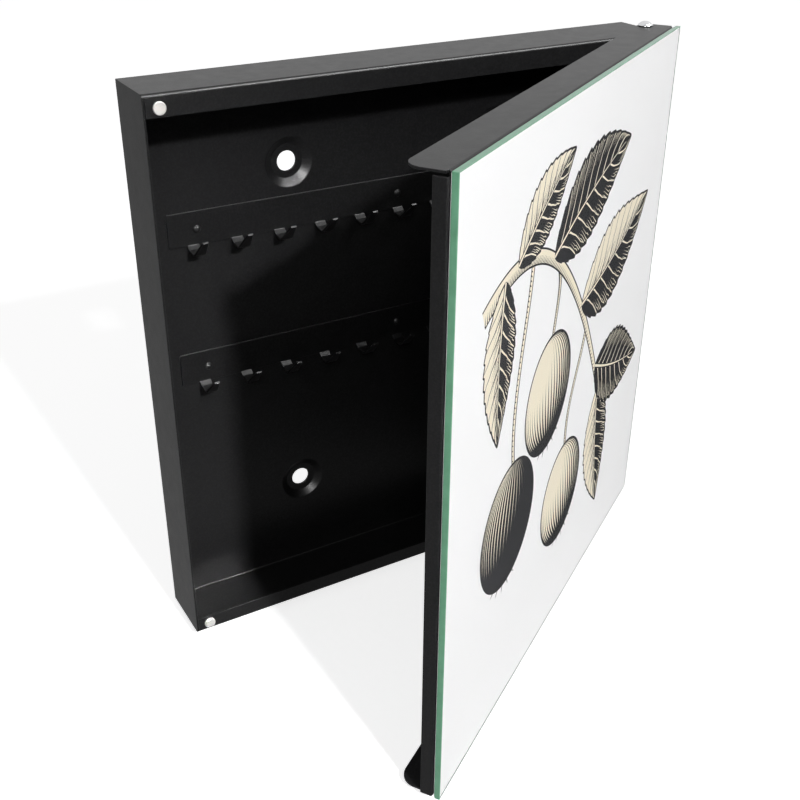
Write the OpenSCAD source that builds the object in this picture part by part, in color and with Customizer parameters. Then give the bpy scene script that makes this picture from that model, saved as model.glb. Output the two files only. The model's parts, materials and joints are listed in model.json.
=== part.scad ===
// Wall key box: a folded steel case with two stamped hook rails, and a glass fronted lid
// on two pivot pins. X is to the right, the front faces -Y and the wall is the plane y = 0.
// The origin is the middle of the four wall holes, on the wall.

/* [Case] */
// Width of the steel case
case_w = 294; // [280:1:340]
// Height of the steel case
case_h = 295.5; // [285:0.5:340]
// Depth of the steel case, front to back
case_d = 37; // [34:1:60]
// Thickness of the case's sheet
sheet_t = 1; // [0.8:0.1:1.5]
// Outside radius of the case's bends
bend_r = 1.6; // [1.5:0.1:2.5]
// Height of the lip folded in at the top of the front
top_lip_h = 10.5; // [10.5:0.5:16]
// Height of the lip folded in at the bottom of the front
low_lip_h = 9; // [9:0.5:16]
// Slit between the end of a lip and the side wall
lip_slit = 0.2; // [0.2:0.1:1.5]

/* [Wall holes] */
// Distance between the left and right wall holes
hole_dx = 126; // [100:1:160]
// Distance between the upper and lower wall holes
hole_dz = 190; // [165:1:210]
// Height of the lower wall holes above the case's underside
hole_low = 54.7; // [50:0.1:60]
// Diameter of a wall hole
hole_d = 10.5; // [6:0.5:12]
// Diameter of the pressed dimple where it leaves the back panel
dimple_d = 25.6; // [24:0.2:30]
// Diameter of the flat ring at the bottom of the dimple
ring_d = 17.6; // [15:0.2:20]
// Depth of the dimple, which holds the case off the wall
dimple_h = 3; // [2:0.5:4]
// Radius of the dimple's two round bends, on the middle of the sheet
dimple_bend_r = 1.5; // [1:0.1:2]

/* [Key rails] */
// Length of a rail
rail_w = 260; // [250:1:262]
// Height of a rail's plate
rail_h = 17.4; // [14:0.2:24]
// Thickness of a rail's sheet
rail_t = 1; // [0.8:0.1:1.2]
// Radius of a rail's two upper corners
rail_corner_r = 1; // [0.5:0.5:6]
// Height of the upper rail's lower edge above the case's underside
upper_rail_z = 210.5; // [200:0.5:225]
// Height of the lower rail's lower edge above the case's underside
lower_rail_z = 134.2; // [100:0.2:150]
// Number of hooks on a rail
hook_count = 11; // [7:2:11]
// Distance between neighbouring hooks
hook_pitch = 23.5; // [20:0.5:24]
// Width of a hook where it leaves the rail
hook_w = 6; // [5:0.5:9]
// Width of a hook at its tip
hook_tip_w = 2.9; // [2:0.1:4]
// Height of a hook's first fold above the rail's lower edge
hook_fold_up = 0.2; // [0:0.1:0.4]
// Distance from the rail's face to the fold after a hook's slanting tab
hook_tab = 2; // [1.5:0.1:3]
// Depth of that fold below the rail's lower edge
hook_tab_drop = 1.9; // [1.6:0.1:2.2]
// Distance from the rail's face to the place where a hook turns up
hook_floor = 8.5; // [7:0.5:10]
// Depth of a hook's floor below the rail's lower edge
hook_drop = 2.4; // [2.2:0.1:3.5]
// Distance from the rail's face to a hook's tip
hook_out = 18; // [15:0.5:20]
// Height of a hook's tip above the rail's lower edge
hook_up = 7.2; // [5:0.2:9]
// Radius of a hook's tight folds, on the middle of the sheet
hook_fold_r = 1; // [0.8:0.1:1.2]
// Radius of the round bend where a hook turns up, on the middle of the sheet
hook_bend_r = 4; // [2:0.5:5]
// Distance from the middle rivet to each outer rivet of a rail
rivet_dx = 115; // [100:1:118]
// Height of the rivets above the rail's lower edge
rivet_up = 8.2; // [7:0.2:11]
// Diameter of a rail rivet's head
rivet_head_d = 4.2; // [3.5:0.1:5.5]
// Height of a rail rivet's head
rivet_head_h = 1.1; // [0.8:0.1:1.5]
// Diameter of a rail rivet's shank
rivet_d = 2.4; // [2:0.1:3]
// Diameter of a rail rivet's tail, behind the back panel
rivet_tail_d = 3.4; // [3.4:0.1:4.5]
// Height of a rail rivet's tail
rivet_tail_h = 0.8; // [0.5:0.1:1.2]

/* [Catch magnets] */
// Diameter of a catch magnet
magnet_d = 6; // [5:0.2:8]
// Thickness of a catch magnet
magnet_t = 1.2; // [1:0.1:3]
// Chamfer on the front edge of a catch magnet
magnet_chamfer = 0.3; // [0.1:0.1:0.5]
// Distance from the case's left side to a magnet's middle
magnet_in = 7.5; // [6:0.5:15]
// Distance from the case's top to the upper magnet's middle
magnet_from_top = 6.4; // [5.2:0.1:6.5]
// Height of the lower magnet's middle above the case's underside
magnet_up = 4.6; // [4.6:0.1:5.5]
// Free space between a magnet and the closed lid
magnet_gap = 0.3; // [0.1:0.1:1]

/* [Lid] */
// How far the glass stands out past the case on the free side
free_over = 2.5; // [1:0.5:5]
// How far the glass stands out past the case on the hinge side
hinge_over = 3.5; // [3.5:0.5:5]
// How far the glass stands out past the case at the top, and at the bottom
end_over = 2.25; // [2.2:0.05:3.5]
// Thickness of the glass
glass_t = 3; // [3:0.5:5]
// Chamfer ground on the edges of the glass
glass_arris = 0.3; // [0.1:0.1:0.8]
// Thickness of the printed film behind the glass
film_t = 0.3; // [0.1:0.1:0.6]
// Thickness of the foam tape that bonds the glass to the tray
tape_t = 0.5; // [0.3:0.1:1.5]
// Width of a strip of foam tape
tape_w = 15; // [8:1:25]
// Thickness of the tray's sheet
tray_t = 1; // [0.8:0.1:1.2]
// Outside radius of the tray's bends
tray_bend_r = 1.2; // [1.2:0.1:2.5]
// How far the tray's edges stand back from the edges of the glass
tray_in = 0.3; // [0.2:0.1:0.6]
// How far the side flanges reach behind the front of the glass
flange_back = 10.2; // [8:0.2:11]
// How far the top and bottom wings reach behind the front of the glass
wing_back = 22.4; // [22.2:0.2:27]
// Radius of the wings' rear corners
wing_corner_r = 8; // [5:0.5:10]
// Slit between the top wing and the upper ends of the side flanges
wing_slit = 1.4; // [0.5:0.1:2]
// How far the relief cut reaches into the tray's two upper corners
corner_relief = 2; // [1.5:0.1:3]
// How far the bottom wing's ends stand in from the side flanges, behind them
wing_step = 1.2; // [0.5:0.1:2]

/* [Hinge] */
// Distance from the hinge pins to the hinge-side edge of the glass
pin_in = 7; // [6.5:0.5:9]
// Distance from the hinge pins to the front of the glass
pin_back = 18; // [16.5:0.5:19]
// Diameter of a hinge pin's shoulder, which turns in the wing
pin_d = 4; // [3.6:0.2:4.4]
// Running clearance between the shoulder and the hole in the wing, on the radius
pin_clear = 0.08; // [0.04:0.01:0.1]
// Diameter of a hinge pin's shank through the case
pin_shank_d = 3; // [2.5:0.1:3.2]
// Diameter of a hinge pin's domed head
pin_head_d = 8.5; // [6.5:0.5:9]
// Height of a hinge pin's domed head
pin_head_h = 2.2; // [1.5:0.1:3]
// Diameter of a hinge pin's riveted tail, inside the case
pin_tail_d = 4.6; // [4:0.1:5]
// Height of a hinge pin's riveted tail
pin_tail_h = 0.8; // [0.5:0.1:1.2]
// Diameter of the washers on a hinge pin
washer_d = 7; // [6:0.2:8]
// Free space between the wings, the washers and the pin heads
washer_gap = 0.05; // [0.02:0.01:0.1]
// Thickness of the washer under a pin's head
head_washer_t = 0.4; // [0.3:0.1:0.6]
// How far the lid stands open
lid_open = 33.3; // [0:0.1:100]

/* [Hidden] */
$fn = 64;
eps = 0.01;
// How far a cutting shape runs past the face that it cuts
past = 1;

// The case's faces
case_x = case_w / 2;
case_low = -hole_low - hole_dz / 2;
case_top = case_low + case_h;
back_y = -dimple_h;
panel_y = back_y - sheet_t;
front_y = back_y - case_d;
bend_in_r = bend_r - sheet_t;

// The closed lid, laid out from the front of the glass
plate_front = glass_t + film_t + tape_t;
plate_back = plate_front + tray_t;
glass_y = front_y - magnet_t - magnet_gap - plate_back;
lid_left = -case_x - free_over;
lid_right = case_x + hinge_over;
lid_low = case_low - end_over;
lid_top = case_top + end_over;
lid_w = lid_right - lid_left;
tray_bend_in_r = tray_bend_r - tray_t;
wing_top = lid_top - tray_in;
wing_low = lid_low + tray_in;

// The hinge axis
pin_x = lid_right - pin_in;
pin_y = glass_y + pin_back;
spacer_t = end_over - tray_in - tray_t - washer_gap;
pin_hole_r = pin_d / 2 + pin_clear;

// Flat rim that joins a dimple to the panel, and the pieces of each bend's curve
dimple_rim = 2;
bend_steps = 5;

// Length of a hook's sheet that lies in the rail's plate, and the chamfer of a riveted tail
hook_root = 2;
tail_chamfer = 0.4;

// Square with chosen corners rounded, from its lowest corner; corners run anticlockwise
module rounded(w, h, r, corners) {
    spots = [[0, 0], [w - r, 0], [w - r, h - r], [0, h - r]];
    centres = [[r, r], [w - r, r], [w - r, h - r], [r, h - r]];
    difference() {
        square([w, h]);
        for (i = corners)
            translate(spots[i])
                square([r, r]);
    }
    for (i = corners)
        intersection() {
            translate(centres[i])
                circle(r);
            translate(spots[i])
                square([r, r]);
        }
}

// Runs a shape drawn in Y and Z along X, from x0 to x1
module along_x(x0, x1) {
    translate([x0, 0, 0])
        rotate([90, 0, 90])
            linear_extrude(x1 - x0)
                children();
}

// Runs a shape drawn in X and Z along Y, from y0 to y1
module along_y(y0, y1) {
    translate([0, y1, 0])
        rotate([90, 0, 0])
            linear_extrude(y1 - y0)
                children();
}

// Runs a shape drawn in X and Y up along Z, from z0 to z1
module along_z(z0, z1) {
    translate([0, 0, z0])
        linear_extrude(z1 - z0)
            children();
}

// Block from its lowest to its highest corner
module block(low, high) {
    translate(low)
        cube(high - low);
}

// Round bar along Y
module bar_y(x, z, y0, y1, d) {
    translate([x, y1, z])
        rotate([90, 0, 0])
            cylinder(h = y1 - y0, d = d);
}

// Places children at the four wall holes
module at_wall_holes() {
    for (x = [-hole_dx / 2, hole_dx / 2], z = [-hole_dz / 2, hole_dz / 2])
        translate([x, 0, z])
            children();
}

// Heading of the line from a to b, and the unit vector along a heading, in degrees
function heading(a, b) = atan2(b[1] - a[1], b[0] - a[0]);
function unit(h) = [cos(h), sin(h)];

// Points of the round bend that replaces corner b of the line from a to c
function bend(a, b, c, r) =
    let (h = heading(a, b), turn = heading(b, c) - h, side = sign(turn))
    let (start = b - r * tan(abs(turn) / 2) * unit(h), centre = start + side * r * unit(h + 90))
        [for (i = [0 : bend_steps]) centre + r * unit(h - side * 90 + turn * i / bend_steps)];

// A line through the given corners, each rounded to the radius given for it
function bent(corners, radii) = [
    corners[0],
    for (i = [1 : len(corners) - 2]) each bend(corners[i - 1], corners[i], corners[i + 1], radii[i - 1]),
    corners[len(corners) - 1]
];

// One side of a strip of sheet that follows a line, half the strip's thickness from it
function strip_side(line, half_t) = let (last = len(line) - 1) [
    for (i = [0 : last])
        let (h1 = heading(line[max(i - 1, 0)], line[max(i, 1)]))
        let (h2 = heading(line[min(i, last - 1)], line[min(i + 1, last)]))
        line[i] + half_t / cos((h2 - h1) / 2) * unit((h1 + h2) / 2 + 90)
];
function strip(line, t) = let (back = strip_side(line, -t / 2))
    concat(strip_side(line, t / 2), [for (i = [len(back) - 1 : -1 : 0]) back[i]]);

// A pressed dimple, revolved about its own hole: ring on the wall, cone and rim in the panel
module dimple() {
    mid = sheet_t / 2;
    shift = mid / 2;
    rotate([90, 0, 0])
        rotate_extrude()
            polygon(strip(bent([
                [hole_d / 2, mid], [ring_d / 2 + shift, mid],
                [dimple_d / 2 + shift, dimple_h + mid], [dimple_d / 2 + dimple_rim, dimple_h + mid]
            ], [dimple_bend_r, dimple_bend_r]), sheet_t));
}

// The solid outside of the case, before it is hollowed
module case_block(inset, r, open) {
    intersection() {
        along_x(-case_x + inset, case_x - inset)
            translate([front_y + inset, case_low + inset])
                rounded(case_d - 2 * inset, case_h - 2 * inset, r, [0, 1, 2, 3]);
        along_z(case_low + inset, case_top - inset)
            translate([-case_x + inset, front_y + inset - open])
                rounded(case_w - 2 * inset, case_d - 2 * inset + open, r, [2, 3]);
    }
}

module case() {
    slit_x = case_x - sheet_t - lip_slit / 2;
    color("#2b2b2d")
    difference() {
        union() {
            difference() {
                case_block(0, bend_r, 0);
                case_block(sheet_t, bend_in_r, 0);
                // The opening between the two lips
                block([-case_x + sheet_t, front_y - past, case_low + low_lip_h],
                    [case_x - sheet_t, front_y + sheet_t + eps, case_top - top_lip_h]);
                // The slits that part the lips from the side walls
                for (x = [-slit_x, slit_x])
                    for (z = [[case_low + bend_r, case_low + low_lip_h + past],
                            [case_top - top_lip_h - past, case_top - bend_r]])
                        block([x - lip_slit / 2, front_y - past, z[0]],
                            [x + lip_slit / 2, front_y + sheet_t + eps, z[1]]);
                at_wall_holes()
                    bar_y(0, 0, panel_y - past, back_y + past, dimple_d + 2 * dimple_rim);
            }
            at_wall_holes()
                dimple();
        }
        for (z = [upper_rail_z, lower_rail_z])
            rivet_places(z)
                bar_y(0, 0, panel_y - past, back_y + past, rivet_d);
        translate([pin_x, pin_y, case_low - past])
            cylinder(h = case_h + 2 * past, d = pin_shank_d);
    }
}

// Places children at the three rivets of the rail whose lower edge is at this height
module rivet_places(rail_z) {
    for (i = [-1, 0, 1])
        translate([i * rivet_dx, 0, case_low + rail_z + rivet_up])
            children();
}

// Middle line of a hook, as distance in front of the back of the rail and height above the
// rail's lower edge: down from the plate, out along its tab and floor, and up to its tip
function hook_line() = bent([
    [rail_t / 2, hook_root], [rail_t / 2, hook_fold_up], [rail_t + hook_tab, -hook_tab_drop],
    [rail_t + hook_floor, -hook_drop], [rail_t + hook_out, hook_up]
], [hook_fold_r, hook_fold_r, hook_bend_r]);

// A hook: its side profile, cut to the outline that it has from above
module hook() {
    root = hook_w / 2;
    tip = hook_tip_w / 2;
    turn = rail_t + hook_floor;
    end = rail_t + hook_out;
    intersection() {
        along_x(-root, root)
            mirror([1, 0])
                polygon(strip(hook_line(), rail_t));
        along_z(-hook_drop - 2 * rail_t, hook_up + 2 * rail_t) {
            polygon([[-root, 0], [-root, -turn], [-tip, -end], [tip, -end], [root, -turn], [root, 0]]);
            translate([0, -end])
                circle(tip);
        }
    }
}

// A rail stamped from one sheet, with its hooks folded out of its lower edge
module key_rail(rail_z) {
    color("#262627")
    translate([0, panel_y, case_low + rail_z]) {
        difference() {
            along_y(-rail_t, 0)
                translate([-rail_w / 2, 0])
                    rounded(rail_w, rail_h, rail_corner_r, [2, 3]);
            for (i = [-1, 0, 1])
                bar_y(i * rivet_dx, rivet_up, -rail_t - past, past, rivet_d);
        }
        for (i = [0 : hook_count - 1])
            translate([(i - (hook_count - 1) / 2) * hook_pitch, 0, 0])
                hook();
    }
}
module upper_key_rail() { key_rail(upper_rail_z); }
module lower_key_rail() { key_rail(lower_rail_z); }

// Half profile of a tail that is riveted over, from its end up to the sheet
module riveted_tail(d, h) {
    polygon([[0, 0], [d / 2 - tail_chamfer, 0], [d / 2, tail_chamfer], [d / 2, h], [0, h]]);
}

// Domed rivet, revolved about its shank; its head rests at height 0 and its tail at -grip
module rivet(head_d, head_h, shank_d, tail_d, tail_h, grip) {
    dome_r = (pow(head_d / 2, 2) + pow(head_h, 2)) / (2 * head_h);
    rotate_extrude() {
        intersection() {
            translate([0, head_h - dome_r])
                circle(dome_r);
            square([head_d, head_h + past]);
        }
        translate([0, -grip - eps])
            square([shank_d / 2, grip + 2 * eps]);
        translate([0, -grip - tail_h])
            riveted_tail(tail_d, tail_h);
    }
}

module rail_rivets(rail_z) {
    color("#303031")
    rivet_places(rail_z)
        translate([0, panel_y - rail_t, 0])
            rotate([90, 0, 0])
                rivet(rivet_head_d, rivet_head_h, rivet_d, rivet_tail_d, rivet_tail_h, rail_t + sheet_t);
}
module upper_rail_rivets() { rail_rivets(upper_rail_z); }
module lower_rail_rivets() { rail_rivets(lower_rail_z); }

// A catch magnet, a plated disc with broken edges that sits on the front of a lip
module magnet(z) {
    r = magnet_d / 2;
    color("#d8d8d6")
    translate([-case_x + magnet_in, front_y, z])
        rotate([90, 0, 0])
            rotate_extrude()
                polygon([[0, 0], [r, 0], [r, magnet_t - magnet_chamfer], [r - magnet_chamfer, magnet_t],
                    [0, magnet_t]]);
}
module top_catch_magnet() { magnet(case_top - magnet_from_top); }
module bottom_catch_magnet() { magnet(case_low + magnet_up); }

// Turns the lid's pieces, which are drawn closed, about the hinge axis
module opened() {
    translate([pin_x, pin_y, 0])
        rotate([0, 0, lid_open])
            translate([-pin_x, -pin_y, 0])
                children();
}

// The tray's plate with its two short side flanges, as seen from above
module tray_pan() {
    left = lid_left + tray_in;
    width = lid_w - 2 * tray_in;
    deep = flange_back - plate_front;
    translate([left, glass_y + plate_front])
        difference() {
            rounded(width, deep, tray_bend_r, [0, 1]);
            translate([tray_t, tray_t])
                rounded(width - 2 * tray_t, deep, tray_bend_in_r, [0, 1]);
        }
}

// Outer outline of the tray, as seen from the side
module tray_section() {
    translate([glass_y + plate_front, wing_low])
        rounded(wing_back - plate_front, wing_top - wing_low, tray_bend_r, [0, 3]);
}

// The tray's plate with its two wings, as seen from the side
module tray_channel() {
    tall = wing_top - wing_low - 2 * tray_t;
    difference() {
        tray_section();
        translate([glass_y + plate_back, wing_low + tray_t])
            rounded(wing_back, tall, tray_bend_in_r, [0, 3]);
    }
}

// Outline of a wing from above; its ends stand in by step behind the side flanges
module wing_outline(step) {
    wide = lid_w - 2 * tray_in;
    deep = wing_back - plate_front;
    translate([lid_left + tray_in, glass_y + plate_front])
        rounded(wide, flange_back - plate_front, tray_bend_r, [0, 1]);
    translate([lid_left + tray_in + step, glass_y + plate_front + tray_bend_r])
        rounded(wide - 2 * step, deep - tray_bend_r, wing_corner_r, [2, 3]);
}

module lid_tray() {
    slit = tray_t + wing_slit;
    flange_top = wing_top - slit;
    bend_back = glass_y + plate_front + tray_bend_r;
    color("#29292b")
    opened()
        difference() {
            union() {
                intersection() {
                    along_z(wing_low, flange_top)
                        tray_pan();
                    along_x(lid_left + tray_in, lid_right - tray_in)
                        tray_section();
                }
                intersection() {
                    along_x(lid_left + tray_in, lid_right - tray_in)
                        tray_channel();
                    union() {
                        along_z(wing_low, 0)
                            wing_outline(wing_step);
                        along_z(0, wing_top)
                            wing_outline(0);
                    }
                }
            }
            translate([pin_x, pin_y, wing_low - past])
                cylinder(h = wing_top - wing_low + 2 * past, r = pin_hole_r);
            for (x = [lid_left + tray_in, lid_right - tray_in])
                block([x - corner_relief, bend_back - tray_bend_r - past, flange_top],
                    [x + corner_relief, bend_back, wing_top + past]);
        }
}

// A strip of foam tape between the glass and the tray, from corner to corner
module tape(x0, x1, z0, z1) {
    y0 = glass_y + glass_t + film_t;
    color("#3c3c3e")
    opened()
        block([x0, y0, z0], [x1, y0 + tape_t, z1]);
}
tape_edge = tray_in + tray_bend_r;
module tape_top() {
    tape(lid_left + tape_edge, lid_right - tape_edge, lid_top - tape_edge - tape_w, lid_top - tape_edge);
}
module tape_bottom() {
    tape(lid_left + tape_edge, lid_right - tape_edge, lid_low + tape_edge, lid_low + tape_edge + tape_w);
}
module tape_left() {
    tape(lid_left + tape_edge, lid_left + tape_edge + tape_w,
        lid_low + tape_edge + tape_w, lid_top - tape_edge - tape_w);
}
module tape_right() {
    tape(lid_right - tape_edge - tape_w, lid_right - tape_edge,
        lid_low + tape_edge + tape_w, lid_top - tape_edge - tape_w);
}

module picture_film() {
    y0 = glass_y + glass_t;
    color("#f4f4f4")
    opened()
        block([lid_left + glass_arris, y0, lid_low + glass_arris],
            [lid_right - glass_arris, y0 + film_t, lid_top - glass_arris]);
}

// Outline of a plate whose edges are broken by a small chamfer
function chamfered(x0, x1, y0, y1, c) = [
    [x0 + c, y0], [x1 - c, y0], [x1, y0 + c], [x1, y1 - c],
    [x1 - c, y1], [x0 + c, y1], [x0, y1 - c], [x0, y0 + c]
];

module glass_front() {
    back = glass_y + glass_t;
    color("#bfe3d2", 0.5)
    opened()
        intersection() {
            along_z(lid_low, lid_top)
                polygon(chamfered(lid_left, lid_right, glass_y, back, glass_arris));
            along_x(lid_left, lid_right)
                polygon(chamfered(glass_y, back, lid_low, lid_top, glass_arris));
            along_y(glass_y, back)
                polygon(chamfered(lid_left, lid_right, lid_low, lid_top, glass_arris));
        }
}

// Places children on the hinge axis: at the case's top, or mirrored at its underside
module at_hinge(top) {
    translate([pin_x, pin_y, top ? case_top : case_low])
        mirror([0, 0, top ? 0 : 1])
            children();
}

// Flat ring round the hinge axis, from its lower face
module washer(z, t, d, hole) {
    translate([0, 0, z])
        difference() {
            cylinder(h = t, d = d);
            translate([0, 0, -past])
                cylinder(h = t + 2 * past, d = hole);
        }
}

// A domed pin: its shoulder stands on the spacer washer's level and turns in the wing,
// its shank goes through the case and its tail is riveted over inside
module hinge_pin() {
    shoulder = spacer_t + tray_t + 2 * washer_gap + head_washer_t;
    dome_r = (pow(pin_head_d / 2, 2) + pow(pin_head_h, 2)) / (2 * pin_head_h);
    color("#cfcfd1")
    rotate_extrude() {
        translate([0, shoulder])
            intersection() {
                translate([0, pin_head_h - dome_r])
                    circle(dome_r);
                square([pin_head_d, pin_head_h + past]);
            }
        square([pin_d / 2, shoulder + eps]);
        translate([0, -sheet_t - eps])
            square([pin_shank_d / 2, sheet_t + 2 * eps]);
        translate([0, -sheet_t - pin_tail_h])
            riveted_tail(pin_tail_d, pin_tail_h);
    }
}
module top_hinge_pin() { at_hinge(true) hinge_pin(); }
module bottom_hinge_pin() { at_hinge(false) hinge_pin(); }

module spacer_washer() {
    color("#3a3a3a")
    washer(0, spacer_t, washer_d, pin_d);
}
module top_spacer_washer() { at_hinge(true) spacer_washer(); }
module bottom_spacer_washer() { at_hinge(false) spacer_washer(); }

module head_washer() {
    color("#1e1e1f")
    washer(spacer_t + tray_t + 2 * washer_gap, head_washer_t, washer_d, pin_d);
}
module top_head_washer() { at_hinge(true) head_washer(); }
module bottom_head_washer() { at_hinge(false) head_washer(); }

case();
upper_key_rail();
lower_key_rail();
upper_rail_rivets();
lower_rail_rivets();
top_catch_magnet();
bottom_catch_magnet();
lid_tray();
tape_top();
tape_bottom();
tape_left();
tape_right();
picture_film();
glass_front();
top_hinge_pin();
bottom_hinge_pin();
top_spacer_washer();
bottom_spacer_washer();
top_head_washer();
bottom_head_washer();
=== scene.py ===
"""Looks of a wall key box: powder coated steel, stamped hook rails and a printed glass lid.

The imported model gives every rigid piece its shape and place. This script gives each piece its
finish, rebuilds the pane and its printed film, and lights the box in a plain white studio.
"""

import json
import logging
import math
from collections.abc import Iterable, Sequence
from dataclasses import dataclass, field
from enum import Enum
from typing import Any

import bmesh
import bpy
from mathutils import Matrix, Vector


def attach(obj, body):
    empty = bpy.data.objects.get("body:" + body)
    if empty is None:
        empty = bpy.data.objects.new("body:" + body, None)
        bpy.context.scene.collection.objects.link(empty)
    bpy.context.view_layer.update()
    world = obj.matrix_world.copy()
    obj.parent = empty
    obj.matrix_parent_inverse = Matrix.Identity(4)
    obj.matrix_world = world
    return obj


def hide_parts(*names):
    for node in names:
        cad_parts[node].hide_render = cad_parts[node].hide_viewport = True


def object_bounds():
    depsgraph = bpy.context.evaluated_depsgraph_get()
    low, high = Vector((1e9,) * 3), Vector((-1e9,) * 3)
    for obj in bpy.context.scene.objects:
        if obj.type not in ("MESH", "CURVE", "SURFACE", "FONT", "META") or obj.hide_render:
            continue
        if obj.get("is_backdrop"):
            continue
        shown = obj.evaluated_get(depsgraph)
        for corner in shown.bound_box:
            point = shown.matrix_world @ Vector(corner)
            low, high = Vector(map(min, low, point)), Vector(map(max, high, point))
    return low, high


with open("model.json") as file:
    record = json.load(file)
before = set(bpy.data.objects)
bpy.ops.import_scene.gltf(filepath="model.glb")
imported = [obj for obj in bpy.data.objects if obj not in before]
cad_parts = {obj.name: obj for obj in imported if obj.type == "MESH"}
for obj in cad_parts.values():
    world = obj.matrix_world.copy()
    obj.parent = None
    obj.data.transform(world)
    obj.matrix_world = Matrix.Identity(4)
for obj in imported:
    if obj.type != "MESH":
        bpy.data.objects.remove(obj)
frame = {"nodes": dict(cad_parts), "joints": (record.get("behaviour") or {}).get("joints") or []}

MM = 0.001
LOG = logging.getLogger("key_box")
Point = tuple[float, float]
Tree = bpy.types.NodeTree
Material = bpy.types.Material


def linear(hex_colour: str) -> tuple[float, float, float, float]:
    """Turns an sRGB hex colour into a linear one.

    Args:
        hex_colour: Six hex digits after a hash sign.

    Returns:
        Red, green, blue and an alpha of 1, linear.
    """
    parts = [int(hex_colour[i:i + 2], 16) / 255 for i in (1, 3, 5)]
    bent = [c / 12.92 if c <= 0.04045 else ((c + 0.055) / 1.055) ** 2.4 for c in parts]
    return (bent[0], bent[1], bent[2], 1.0)


WHITE = linear("#ffffff")


def add_node(tree: Tree, kind: str, settings: dict | None = None, links: dict | None = None) -> Any:
    """Adds a node to a tree with its settings and links.

    Args:
        tree: The node tree of a material or the world.
        kind: Blender's name for the type of node.
        settings: Values by the name or number of an input, or by the name of an attribute.
        links: Source sockets by the name or number of the input that they feed.

    Returns:
        The new node.
    """
    node = tree.nodes.new(kind)
    for key, value in (settings or {}).items():
        if isinstance(key, int) or key in node.inputs:
            node.inputs[key].default_value = value
        else:
            setattr(node, key, value)
    for key, source in (links or {}).items():
        tree.links.new(source, node.inputs[key])
    return node


def begin_material(name: str) -> tuple[Material, Tree, Any]:
    """Makes an empty material that has only its output.

    Args:
        name: The finish's name.

    Returns:
        The material, its tree and its output node.
    """
    material = bpy.data.materials.new(name)
    material.use_nodes = True
    tree = material.node_tree
    tree.nodes.clear()
    return material, tree, add_node(tree, "ShaderNodeOutputMaterial")


def grain(tree: Tree, size_mm: float, detail: float = 2.0, roughness: float = 0.5) -> Any:
    """Adds even noise whose grains have a real size, fixed to the piece.

    Args:
        tree: The material's tree.
        size_mm: Size of a grain in millimetres.
        detail: Number of finer octaves.
        roughness: Weight of the finer octaves.

    Returns:
        The noise node, whose first output runs from 0 to 1.
    """
    place = add_node(tree, "ShaderNodeTexCoord")
    settings = {"Scale": 1 / (size_mm * MM), "Detail": detail, "Roughness": roughness}
    return add_node(tree, "ShaderNodeTexNoise", settings, {"Vector": place.outputs["Object"]})


def open_to_light(tree: Tree, seen: Any) -> Any:
    """Lets lamps and bounced light straight through a shader, so that glass casts no shadow.

    Args:
        tree: The material's tree.
        seen: The shader's socket, for all other rays.

    Returns:
        The mixed shader's socket.
    """
    path = add_node(tree, "ShaderNodeLightPath")
    lamp = add_node(tree, "ShaderNodeMath", {"operation": "MAXIMUM"},
                    {0: path.outputs["Is Shadow Ray"], 1: path.outputs["Is Diffuse Ray"]})
    air = add_node(tree, "ShaderNodeBsdfTransparent")
    mix = add_node(tree, "ShaderNodeMixShader", None,
                   {0: lamp.outputs[0], 1: seen, 2: air.outputs[0]})
    return mix.outputs[0]


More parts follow.
